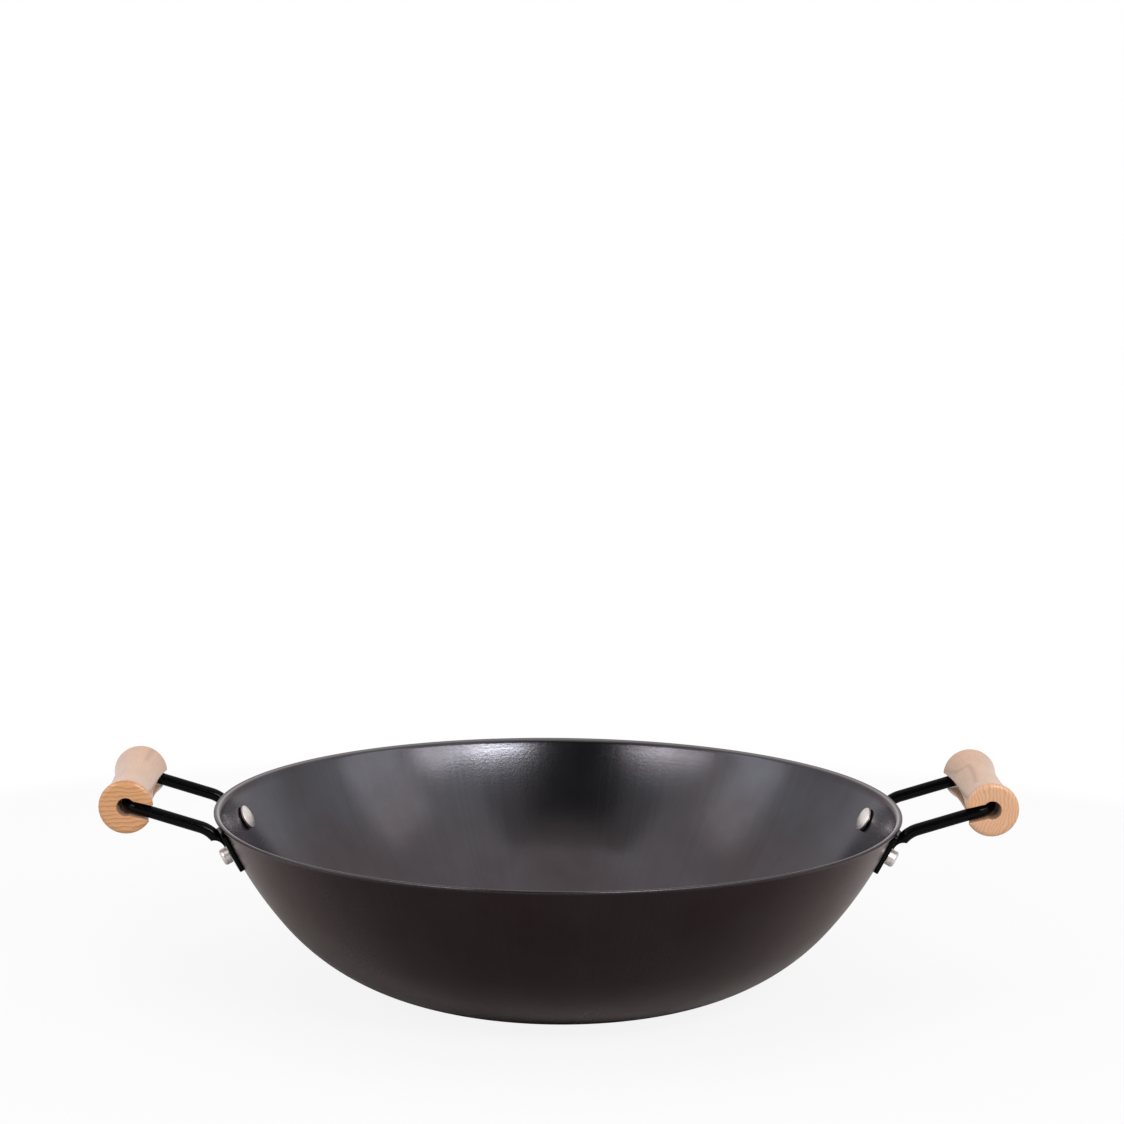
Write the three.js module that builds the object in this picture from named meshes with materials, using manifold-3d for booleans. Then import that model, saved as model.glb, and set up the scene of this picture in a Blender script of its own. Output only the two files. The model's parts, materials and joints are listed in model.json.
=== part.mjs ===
// A two-handled wok with a flat base. The bowl is pressed from one steel sheet and its rim is turned out
// into a small round lip. On each side a bent steel rod, the bail, is welded to two lugs, and each lug is
// held to the wall by one rivet. A waisted wooden grip with a slot along it sits on the bail's cross bar.
// Millimetres, +Z up, the origin at the middle of the base's underside, and the handles along X.
import * as THREE from 'three';
import { mergeVertices, toCreasedNormals } from 'three/addons/utils/BufferGeometryUtils.js';
import Module from 'manifold-3d';

const wasm = await Module();
wasm.setup();

// Bowl
const rimDiameter = 360;
const bowlHeight = 96.4;
const baseDiameter = 113;
const straightWallRise = 29;
const sheetThickness = 1.6;
const lipReach = 3.4;
const lipRise = 1.9;

// Bail, bent from one round rod
const rodDiameter = 6.3;
const armSpacing = 78;
const armAngle = 17;
const handleReach = 42;
const gripCornerRadius = 6.5;
const rodBendRadius = 16;
const rodEndTilt = 10;
const rodEndDrop = 7.6;
const rodEndFlat = 1.2;

// Weld between a rod end and its lug
const weldWidth = 4.6;
const weldThroat = 1.4;
const weldInset = 0.3;
const weldToeGap = 0.6;

// Lug plates
const lugWidth = 16;
const lugThickness = 2.5;
const lugAboveRivet = 13.6;
const lugBelowRivet = 9.6;
const lugCornerRadius = 2;

// Rivets, with a low dome inside the bowl and an upset button outside
const rivetDrop = 15.2;
const shankDiameter = 5.5;
const headDiameter = 12.8;
const headHeight = 2.4;
const headEdge = 0.9;
const tailDiameter = 8.8;
const tailHeight = 4.4;
const tailRounding = 1.5;

// Grips, turned from wood
const gripLength = 88;
const gripEndDiameter = 28;
const gripWaistDiameter = 23.4;
const gripFlarePower = 2.6;
const gripChamferWidth = 3;
const gripChamferDepth = 1.8;
const boreDiameter = 9.4;
const slotWidth = 7.6;

// Space left between pieces that bear on each other
const fitGap = 0.3;

// How far a cutter runs past the piece that it cuts
const cutterOverrun = 4;

// Fineness of the round forms
const bowlSides = 80;
const bowlCurveSteps = 8;
const lipSteps = 3;
const lipEdgeSteps = 4;
const rodSides = 14;
const rodBendSteps = 4;
const rodCornerSteps = 6;
const rivetSides = 20;
const rivetCurveSteps = 3;
const holeSides = 16;
const gripSides = 32;
const gripRings = 10;
const weldSteps = 6;
const lugCornerSteps = 2;
const creaseAngle = 30;

const rimRadius = rimDiameter / 2;
const baseRadius = baseDiameter / 2;
const rodRadius = rodDiameter / 2;
const tailRadius = tailDiameter / 2;
const headRadius = headDiameter / 2;
const armTilt = THREE.MathUtils.degToRad(armAngle);

const steel = new THREE.MeshStandardMaterial({ color: 0x4b484a, roughness: 0.38, metalness: 0.9 });
const enamel = new THREE.MeshStandardMaterial({ color: 0x0b0b0d, roughness: 0.22, metalness: 0.1 });
const rivetMetal = new THREE.MeshStandardMaterial({ color: 0xc4bcb4, roughness: 0.32, metalness: 0.95 });
const wood = new THREE.MeshStandardMaterial({ color: 0xdcb594, roughness: 0.55, metalness: 0 });

// Turns a closed geometry into a solid that can be joined and cut.
function solidOf(geometry) {
  const bare = geometry.clone();
  bare.deleteAttribute('normal');
  bare.deleteAttribute('uv');
  const merged = mergeVertices(bare);
  const corners = merged.index.array;
  const triangles = [];
  for (let i = 0; i < corners.length; i += 3) {
    const [a, b, c] = corners.slice(i, i + 3);
    if (a !== b && b !== c && c !== a) {
      triangles.push(a, b, c);
    }
  }
  return new wasm.Manifold(new wasm.Mesh({
    numProp: 3,
    vertProperties: new Float32Array(merged.attributes.position.array),
    triVerts: new Uint32Array(triangles),
  }));
}

// Turns a solid back into a geometry, with its hard edges kept sharp.
function geometryOf(solid) {
  const mesh = solid.getMesh();
  const geometry = new THREE.BufferGeometry();
  geometry.setAttribute('position', new THREE.BufferAttribute(mesh.vertProperties, 3));
  geometry.setIndex(new THREE.BufferAttribute(mesh.triVerts, 1));
  return toCreasedNormals(geometry, THREE.MathUtils.degToRad(creaseAngle));
}

// Points on a round stretch in a plane, from one angle to another, both ends included.
function arcPoints(centreX, centreY, radius, from, to, steps) {
  return Array.from({ length: steps + 1 }, (_, i) => {
    const angle = from + (to - from) * i / steps;
    return new THREE.Vector2(centreX + radius * Math.cos(angle), centreY + radius * Math.sin(angle));
  });
}

// The slope of the straight wall: the sheet leaves the flat base along one arc and then runs straight to
// the root of the lip, so the half-angle's tangent follows from the base, rim, height and straight rise.
const lipRoot = new THREE.Vector2(rimRadius - lipReach, bowlHeight - sheetThickness / 2 - lipRise);
const wallReach = lipRoot.x - baseRadius;
const wallRise = lipRoot.y - sheetThickness / 2;
const wallSpan = Math.sqrt(wallReach ** 2 + straightWallRise * (2 * wallRise - straightWallRise));
const wallAngle = 2 * Math.atan((wallSpan - wallReach) / straightWallRise);
const curveRadius = (wallRise - straightWallRise) / (1 - Math.cos(wallAngle));
const upWall = new THREE.Vector2(Math.cos(wallAngle), Math.sin(wallAngle));
const outOfWall = new THREE.Vector2(Math.sin(wallAngle), -Math.cos(wallAngle));

// Radius of the wall's outer face, run on as a straight cone, at a height.
function outerWallRadius(height) {
  const face = lipRoot.clone().addScaledVector(outOfWall, sheetThickness / 2);
  return face.x + (height - face.y) * upWall.x / upWall.y;
}

// The middle of the bowl's sheet from the axis to the lip's edge, with the sheet's slope at each point.
function sheetMiddle() {
  const line = [];
  line.push({ r: 0, z: sheetThickness / 2, slope: 0 });
  for (let i = 0; i <= bowlCurveSteps; i += 1) {
    const slope = wallAngle * i / bowlCurveSteps;
    const r = baseRadius + curveRadius * Math.sin(slope);
    const z = sheetThickness / 2 + curveRadius * (1 - Math.cos(slope));
    line.push({ r, z, slope });
  }
  const bend = new THREE.Vector2(lipRoot.x + lipRise * upWall.x / upWall.y, lipRoot.y + lipRise);
  const edge = new THREE.Vector2(rimRadius - sheetThickness / 2, bend.y);
  const lip = new THREE.QuadraticBezierCurve(lipRoot, bend, edge);
  for (let i = 0; i <= lipSteps; i += 1) {
    const point = lip.getPoint(i / lipSteps);
    const along = lip.getTangent(i / lipSteps);
    line.push({ r: point.x, z: point.y, slope: Math.atan2(along.y, along.x) });
  }
  return line;
}

// The bowl: the sheet's section turned about Z, with a hole for each rivet.
function bowlGeometry(seats) {
  const half = sheetThickness / 2;
  const middle = sheetMiddle();
  const offset = ({ r, z, slope }, side) => {
    return new THREE.Vector2(r + side * half * Math.sin(slope), z - side * half * Math.cos(slope));
  };
  const outside = middle.map((station) => offset(station, 1));
  const inside = middle.map((station) => offset(station, -1)).reverse();
  const last = middle[middle.length - 1];
  const edge = arcPoints(last.r, last.z, half, -Math.PI / 2, Math.PI / 2, lipEdgeSteps).slice(1, -1);
  const sheet = new THREE.LatheGeometry([...outside, ...edge, ...inside], bowlSides).rotateX(Math.PI / 2);
  const holeRadius = shankDiameter / 2 + fitGap;
  const holeLength = 2 * (sheetThickness + cutterOverrun);
  let bowl = solidOf(sheet);
  for (const seat of seats) {
    const hole = new THREE.CylinderGeometry(holeRadius, holeRadius, holeLength, holeSides);
    bowl = bowl.subtract(solidOf(hole.rotateX(Math.PI / 2).applyMatrix4(seat)));
  }
  return geometryOf(bowl);
}

// Where a rod end comes to rest beside its lug: clear of the lug by the fit gap, in the plane of its arm,
// with the side that faces the lug pressed flat.
const lugFace = fitGap + lugThickness;
const rodEndHeight = bowlHeight - rodEndDrop;
const rodOffLug = fitGap + rodRadius - rodEndFlat;
const rodEndRadius = outerWallRadius(rodEndHeight) + (lugFace + rodOffLug) / outOfWall.x;
const seatAngle = Math.asin(armSpacing / 2 / rodEndRadius);
const rodEndSlope = wallAngle - THREE.MathUtils.degToRad(rodEndTilt);
const rodEnd = new THREE.Vector3(rodEndRadius * Math.cos(seatAngle), -armSpacing / 2, rodEndHeight);

// A rivet's place on the wall's outer face at a plan angle: X along the wall, Y up it and Z out of it.
function rivetSeat(planAngle) {
  const height = bowlHeight - rivetDrop;
  const around = new THREE.Vector3(0, 1, 0);
  const up = new THREE.Vector3(upWall.x, 0, upWall.y);
  const out = new THREE.Vector3(outOfWall.x, 0, outOfWall.y);
  const seat = new THREE.Matrix4().makeBasis(around, up, out);
  seat.setPosition(outerWallRadius(height), 0, height);
  return seat.premultiply(new THREE.Matrix4().makeRotationZ(planAngle));
}

// The route of a bent rod, given as stations that each hold a point and the rod's direction there.
class RodRoute extends THREE.Curve {
  constructor(stations) {
    super();
    this.stations = stations;
  }

  station(t) {
    return this.stations[Math.round(t * (this.stations.length - 1))];
  }

  getPoint(t, target = new THREE.Vector3()) {
    return target.copy(this.station(t).point);
  }

  getTangent(t, target = new THREE.Vector3()) {
    return target.copy(this.station(t).along);
  }

  getUtoTmapping(u) {
    return u;
  }
}

// One half of the bail, from its rod end up the bend and the arm and round the corner to the cross bar.
function halfBail() {
  const stations = [];
  const bendX = rodEnd.x + rodBendRadius * Math.sin(rodEndSlope);
  const bendZ = rodEnd.z - rodBendRadius * Math.cos(rodEndSlope);
  for (let i = 0; i <= rodBendSteps; i += 1) {
    const slope = rodEndSlope + (armTilt - rodEndSlope) * i / rodBendSteps;
    const x = bendX - rodBendRadius * Math.sin(slope);
    const z = bendZ + rodBendRadius * Math.cos(slope);
    stations.push({
      point: new THREE.Vector3(x, rodEnd.y, z),
      along: new THREE.Vector3(Math.cos(slope), 0, Math.sin(slope)),
    });
  }
  const armStart = stations[stations.length - 1].point;
  const armRun = (rimRadius + handleReach - armStart.x) / Math.cos(armTilt);
  const armWay = new THREE.Vector3(Math.cos(armTilt), 0, Math.sin(armTilt));
  const barWay = new THREE.Vector3(0, 1, 0);
  const corner = armStart.clone().addScaledVector(armWay, armRun - gripCornerRadius);
  corner.addScaledVector(barWay, gripCornerRadius);
  for (let i = 0; i <= rodCornerSteps; i += 1) {
    const turn = Math.PI / 2 * i / rodCornerSteps;
    const point = corner.clone().addScaledVector(armWay, gripCornerRadius * Math.sin(turn));
    point.addScaledVector(barWay, -gripCornerRadius * Math.cos(turn));
    const along = armWay.clone().multiplyScalar(Math.cos(turn)).addScaledVector(barWay, Math.sin(turn));
    stations.push({ point, along });
  }
  return stations;
}

const bailHalf = halfBail();
const crossBar = bailHalf[bailHalf.length - 1].point;

// How a grip hangs on the cross bar: its outer side is the heavier one, so it tips until the slot's upper
// wall is down on the bar and its lower edge is up against the arms.
const gripHang = (slotWidth - rodDiameter) / 2 - fitGap;
const gripTilt = armTilt - Math.atan(2 * gripHang / (gripEndDiameter / 2));

// The weld in the plane of an arm: a hollow fillet from the rod's cut end down to a toe on the lug.
function weldShape() {
  const rivetHeight = bowlHeight - rivetDrop;
  const rivetOnWall = new THREE.Vector2(outerWallRadius(rivetHeight) * Math.cos(seatAngle), rivetHeight);
  const lugOut = new THREE.Vector2(outOfWall.x * Math.cos(seatAngle), outOfWall.y).normalize();
  const lugUp = new THREE.Vector2(-lugOut.y, lugOut.x);
  const end = new THREE.Vector2(rodEnd.x, rodEnd.z);
  const rodWay = new THREE.Vector2(Math.cos(rodEndSlope), Math.sin(rodEndSlope));
  const underRod = new THREE.Vector2(rodWay.y, -rodWay.x);
  const lip = end.clone().addScaledVector(underRod, rodRadius - weldInset);
  const toe = rivetOnWall.clone().addScaledVector(lugUp, tailRadius + weldToeGap);
  toe.addScaledVector(lugOut, lugFace);
  const heel = end.clone().addScaledVector(lugOut, weldThroat - rodOffLug);
  heel.addScaledVector(lugUp, -weldThroat);
  const shape = new THREE.Shape();
  shape.moveTo(lip.x, lip.y);
  shape.quadraticCurveTo(heel.x, heel.y, toe.x, toe.y);
  const buried = end.clone().addScaledVector(lugOut, -rodOffLug - lugThickness);
  shape.lineTo(toe.x - lugThickness * lugOut.x, toe.y - lugThickness * lugOut.y);
  shape.lineTo(buried.x, buried.y);
  const inRod = end.clone().addScaledVector(rodWay, rodRadius / 2);
  shape.lineTo(inRod.x, inRod.y);
  return shape;
}

// The bail: the rod swept along its route, with a weld at each end trimmed to the lug's face.
function bailGeometry() {
  const mirrored = bailHalf.map(({ point, along }) => ({
    point: new THREE.Vector3(point.x, -point.y, point.z),
    along: new THREE.Vector3(-along.x, along.y, -along.z),
  })).reverse();
  const stations = [...bailHalf, ...mirrored];
  const section = new THREE.Shape(arcPoints(0, 0, rodRadius, 0, 2 * Math.PI, rodSides).slice(0, -1));
  const route = new RodRoute(stations);
  let bail = solidOf(new THREE.ExtrudeGeometry(section, { steps: stations.length - 1, extrudePath: route }));
  for (const end of [-1, 1]) {
    const weld = new THREE.ExtrudeGeometry(weldShape(), {
      depth: weldWidth, bevelEnabled: false, curveSegments: weldSteps,
    });
    weld.rotateX(Math.PI / 2).translate(0, end * armSpacing / 2 + weldWidth / 2, 0);
    const trimLength = 2 * (lugAboveRivet + rodDiameter);
    const trimDepth = rodDiameter + lugThickness;
    const trim = new THREE.BoxGeometry(lugWidth, trimLength, trimDepth);
    trim.translate(0, 0, lugFace + fitGap - trimDepth / 2).applyMatrix4(rivetSeat(end * seatAngle));
    bail = bail.add(solidOf(weld)).subtract(solidOf(trim));
  }
  return geometryOf(bail);
}

// A lug: a flat plate with rounded corners and one rivet hole, standing off the wall by the fit gap.
function lugGeometry() {
  const right = lugWidth / 2;
  const inset = right - lugCornerRadius;
  const top = lugAboveRivet - lugCornerRadius;
  const bottom = lugCornerRadius - lugBelowRivet;
  const plate = new THREE.Shape();
  plate.absarc(inset, bottom, lugCornerRadius, -Math.PI / 2, 0);
  plate.absarc(inset, top, lugCornerRadius, 0, Math.PI / 2);
  plate.absarc(-inset, top, lugCornerRadius, Math.PI / 2, Math.PI);
  plate.absarc(-inset, bottom, lugCornerRadius, Math.PI, 3 * Math.PI / 2);
  const hole = arcPoints(0, 0, shankDiameter / 2 + fitGap, 0, 2 * Math.PI, holeSides);
  plate.holes.push(new THREE.Path(hole.slice(0, -1)));
  const geometry = new THREE.ExtrudeGeometry(plate, {
    depth: lugThickness, bevelEnabled: false, curveSegments: lugCornerSteps,
  });
  return geometry.translate(0, 0, fitGap);
}

// A rivet, turned about its own axis: dome inside the bowl, shank, and rounded button outside the lug.
function rivetGeometry() {
  const wallRadius = outerWallRadius(bowlHeight - rivetDrop);
  const hollow = headRadius ** 2 * outOfWall.x / (2 * wallRadius);
  const headSeat = -sheetThickness - fitGap - hollow;
  const tailSeat = lugFace + fitGap;
  const shankRadius = shankDiameter / 2;
  const crown = headHeight - headEdge;
  const domeRadius = (headRadius ** 2 + crown ** 2) / (2 * crown);
  const domeHalf = Math.asin(headRadius / domeRadius);
  const domeCentre = headSeat - headHeight + domeRadius;
  const dome = arcPoints(0, domeCentre, domeRadius, -Math.PI / 2, domeHalf - Math.PI / 2, rivetCurveSteps);
  const shoulder = tailRadius - tailRounding;
  const crownAxial = tailSeat + tailHeight - tailRounding;
  const button = arcPoints(shoulder, crownAxial, tailRounding, 0, Math.PI / 2, rivetCurveSteps);
  const profile = [
    ...dome,
    new THREE.Vector2(headRadius, headSeat),
    new THREE.Vector2(shankRadius, headSeat),
    new THREE.Vector2(shankRadius, tailSeat),
    new THREE.Vector2(tailRadius, tailSeat),
    ...button,
    new THREE.Vector2(0, tailSeat + tailHeight),
  ];
  profile[0].x = 0;
  return new THREE.LatheGeometry(profile, rivetSides).rotateX(Math.PI / 2);
}

// A grip: a waisted turning with chamfered ends, cut by a bore and by a slot that opens towards the bowl.
function gripGeometry() {
  const endRadius = gripEndDiameter / 2;
  const waistRadius = gripWaistDiameter / 2;
  const half = gripLength / 2;
  const flareEnd = half - gripChamferDepth;
  const side = Array.from({ length: gripRings + 1 }, (_, i) => {
    const share = 2 * i / gripRings - 1;
    const radius = waistRadius + (endRadius - waistRadius) * Math.abs(share) ** gripFlarePower;
    return new THREE.Vector2(radius, share * flareEnd);
  });
  const faceRadius = endRadius - gripChamferWidth;
  const turning = new THREE.LatheGeometry([
    new THREE.Vector2(0, -half),
    new THREE.Vector2(faceRadius, -half),
    ...side,
    new THREE.Vector2(faceRadius, half),
    new THREE.Vector2(0, half),
  ], gripSides);
  const boreRadius = boreDiameter / 2;
  const slotHalf = slotWidth / 2;
  const mouth = Math.asin(Math.min(1, slotHalf / boreRadius));
  const keyhole = new THREE.Shape([
    new THREE.Vector2(-gripEndDiameter, -slotHalf),
    ...arcPoints(0, 0, boreRadius, mouth - Math.PI, Math.PI - mouth, holeSides),
    new THREE.Vector2(-gripEndDiameter, slotHalf),
  ]);
  const cutLength = gripLength + 2 * cutterOverrun;
  const cut = new THREE.ExtrudeGeometry(keyhole, { depth: cutLength, bevelEnabled: false });
  cut.rotateX(Math.PI / 2).translate(0, cutLength / 2, 0);
  return geometryOf(solidOf(turning).subtract(solidOf(cut)));
}

// A named piece of one material.
function piece(name, geometry, material) {
  const mesh = new THREE.Mesh(geometry, material);
  mesh.name = name;
  return mesh;
}

// One handle on the +X side, turned to its own side: bail, lugs, rivets and the grip that hangs on the rod.
function handle(side, turn, ends) {
  const group = new THREE.Group();
  group.rotation.z = turn;
  group.add(piece(`${side}_bail`, bailGeometry(), enamel));
  for (const [end, planAngle] of ends) {
    const lug = piece(`${side}_${end}_lug`, lugGeometry(), enamel);
    lug.applyMatrix4(rivetSeat(planAngle));
    const rivet = piece(`${side}_${end}_rivet`, rivetGeometry(), rivetMetal);
    rivet.applyMatrix4(rivetSeat(planAngle));
    group.add(lug, rivet);
  }
  const grip = piece(`${side}_grip`, gripGeometry(), wood);
  grip.rotation.y = -gripTilt;
  const gripX = crossBar.x + gripHang * Math.sin(gripTilt);
  const gripZ = crossBar.z - gripHang * Math.cos(gripTilt);
  grip.position.set(gripX, 0, gripZ);
  group.add(grip);
  return group;
}

const wok = new THREE.Group();
const planAngles = [seatAngle, -seatAngle, Math.PI + seatAngle, Math.PI - seatAngle];
wok.add(piece('bowl', bowlGeometry(planAngles.map(rivetSeat)), steel));
wok.add(handle('right', 0, [['front', -seatAngle], ['back', seatAngle]]));
wok.add(handle('left', Math.PI, [['front', seatAngle], ['back', -seatAngle]]));

export default wok;
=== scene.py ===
"""Looks of a two-handled wok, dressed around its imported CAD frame.

The bowl is a sheet turned about Z, each bail is a round rod carried along its bent route, and each grip
is a waisted turning with a keyhole slot. Sizes are in metres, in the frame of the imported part: +Z is up,
the handles lie along X, and the origin is the middle of the base's underside.
"""

import json
import logging
import math
from dataclasses import dataclass, field
from enum import Enum

import bpy
import numpy as np
from mathutils import Matrix

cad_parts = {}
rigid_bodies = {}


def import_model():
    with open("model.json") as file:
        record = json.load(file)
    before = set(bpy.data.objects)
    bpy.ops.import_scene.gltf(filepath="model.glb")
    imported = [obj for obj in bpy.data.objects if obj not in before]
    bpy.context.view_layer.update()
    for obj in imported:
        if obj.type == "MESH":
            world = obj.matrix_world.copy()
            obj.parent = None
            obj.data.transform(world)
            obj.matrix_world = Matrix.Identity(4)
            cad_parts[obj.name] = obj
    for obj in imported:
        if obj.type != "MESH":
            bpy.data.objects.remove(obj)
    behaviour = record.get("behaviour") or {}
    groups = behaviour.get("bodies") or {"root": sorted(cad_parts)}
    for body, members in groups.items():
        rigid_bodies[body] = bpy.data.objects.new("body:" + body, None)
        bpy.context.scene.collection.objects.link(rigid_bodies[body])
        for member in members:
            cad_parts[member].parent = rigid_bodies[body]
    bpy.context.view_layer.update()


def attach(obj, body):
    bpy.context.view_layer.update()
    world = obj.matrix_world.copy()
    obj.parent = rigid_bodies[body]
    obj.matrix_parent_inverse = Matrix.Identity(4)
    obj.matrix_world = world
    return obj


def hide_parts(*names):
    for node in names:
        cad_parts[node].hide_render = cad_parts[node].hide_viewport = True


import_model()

LOG = logging.getLogger("wok")
BODY = "root"

Colour = tuple[float, float, float, float]
WHITE: Colour = (1, 1, 1, 1)
LEAST_LENGTH = 1e-9


class Side(Enum):
    """The side of the bowl that a handle is on, as the turn about Z from the +X side."""

    RIGHT = 0.0
    LEFT = math.pi


class End(Enum):
    """One end of a handle, as the sign of its Y: the front is nearer the viewer."""

    FRONT = -1
    BACK = 1


class Slot(Enum):
    """The record's material slots."""

    BOWL = "bowl_steel"
    ENAMEL = "black_enamel"
    RIVET = "rivet_metal"
    WOOD = "beech_wood"


# Meshes from arrays


@dataclass
class Surface:
    """A mesh in the making.

    Args:
        points: one row of x, y and z for each point.
        faces: arrays of point numbers, one row for each face.
        values: named numbers, one for each point, that a material can read.
    """

    points: np.ndarray
    faces: list[np.ndarray]
    values: dict[str, np.ndarray] = field(default_factory=dict)

    def moved(self, matrix: np.ndarray) -> "Surface":
        """The same surface carried by a 4 by 4 matrix."""
        points = self.points @ matrix[:3, :3].T + matrix[:3, 3]
        return Surface(points, self.faces, self.values)

    def mirrored(self) -> "Surface":
        """The same surface with Y turned round, and its faces with it."""
        return Surface(self.points * (1, -1, 1), [block[:, ::-1] for block in self.faces], self.values)


def grid_quads(rows: int, columns: int, round_rows: bool = False, round_columns: bool = False) -> np.ndarray:
    """Quads of a grid whose points are stored row by row, facing along (next row) x (next column).

    Args:
        rows: the number of rows of points.
        columns: the number of points in a row.
        round_rows: whether the last row joins the first.
        round_columns: whether the last column joins the first.

    Returns:
        One row of four point numbers for each quad.
    """
    row = np.arange(rows if round_rows else rows - 1)
    column = np.arange(columns if round_columns else columns - 1)
    i, j = (index.ravel() for index in np.meshgrid(row, column, indexing="ij"))
    below = (i + 1) % rows * columns
    beside = (j + 1) % columns
    here = i * columns
    return np.stack([here + j, below + j, below + beside, here + beside], axis=1)


def round_angles(sides: int) -> np.ndarray:
    """The angles of one full turn in equal steps."""
    return np.linspace(0, 2 * np.pi, sides, endpoint=False)


def unit_vectors(angle: np.ndarray) -> np.ndarray:
    """The unit vector (cos a, sin a) of each angle, on a new last axis."""
    return np.stack([np.cos(angle), np.sin(angle)], axis=-1)


def close_rings(rings: np.ndarray, poles: np.ndarray) -> Surface:
    """Joins rings of points into a closed surface, with a fan from each end ring to its pole.

    Args:
        rings: an array of rings by points by x, y and z.
        poles: the points that close the first ring and the last.

    Returns:
        The surface, facing along (next ring) x (next point).
    """
    count, sides = rings.shape[:2]
    here = np.arange(sides)
    beside = (here + 1) % sides
    first, last = np.full(sides, count * sides), np.full(sides, count * sides + 1)
    foot = (count - 1) * sides
    fans = [np.stack([first, here, beside], axis=1), np.stack([foot + here, last, foot + beside], axis=1)]
    points = np.concatenate([rings.reshape(-1, 3), poles])
    return Surface(points, [grid_quads(count, sides, round_columns=True), *fans])


def revolve(profile: np.ndarray, sides: int) -> Surface:
    """Turns a profile about Z: P(i, a) = (r_i cos a, r_i sin a, z_i).

    Args:
        profile: rows of r and z. The first and last points lie on the axis, and the solid is on the right
            hand of the way from the first to the last.
        sides: the number of points around.

    Returns:
        A closed surface.
    """
    angle = round_angles(sides)
    r, z = profile[1:-1].T
    rings = np.stack(
        [np.outer(r, np.cos(angle)), np.outer(r, np.sin(angle)), np.outer(z, np.ones(sides))], axis=-1
    )
    return close_rings(rings, np.array([[0, 0, profile[0, 1]], [0, 0, profile[-1, 1]]]))


def arc(centre: tuple[float, float], radius: float, start: float, stop: float, steps: int) -> np.ndarray:
    """Points of a round stretch: centre + radius (cos a, sin a), with a from start to stop, both included."""
    return np.array(centre) + radius * unit_vectors(np.linspace(start, stop, steps + 1))


def make_piece(
    name: str, surface: Surface, material: bpy.types.Material, crease: float = 40.0
) -> bpy.types.Object:
    """Puts a surface into a smooth-shaded mesh object at the origin.

    Args:
        name: the piece's name.
        surface: its points and faces.
        material: its finish.
        crease: edges that bend by more than this many degrees stay sharp.

    Returns:
        The new object, linked to the scene.
    """
    mesh = bpy.data.meshes.new(name)
    faces = [face for block in surface.faces for face in block.tolist()]
    mesh.from_pydata(surface.points.tolist(), [], faces)
    for key, values in surface.values.items():
        layer = mesh.attributes.new(key, "FLOAT", "POINT")
        layer.data.foreach_set("value", values.astype(np.float32))
    mesh.polygons.foreach_set("use_smooth", np.ones(len(mesh.polygons), dtype=bool))
    mesh.set_sharp_from_angle(angle=math.radians(crease))
    mesh.materials.append(material)
    mesh.validate()
    mesh.update()
    piece = bpy.data.objects.new(name, mesh)
    bpy.context.scene.collection.objects.link(piece)
    return piece


def settle(piece: bpy.types.Object, node: str | None = None) -> bpy.types.Object:
    """Makes a piece ride on the body, and lets it stand for a CAD node.

    Args:
        piece: the finished piece.
        node: the CAD node that it stands for, if it does.

    Returns:
        The same piece.
    """
    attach(piece, BODY)
    if node:
        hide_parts(node)
    LOG.info("%s: %d faces", piece.name, len(piece.data.polygons))
    return piece


# Node trees


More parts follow.
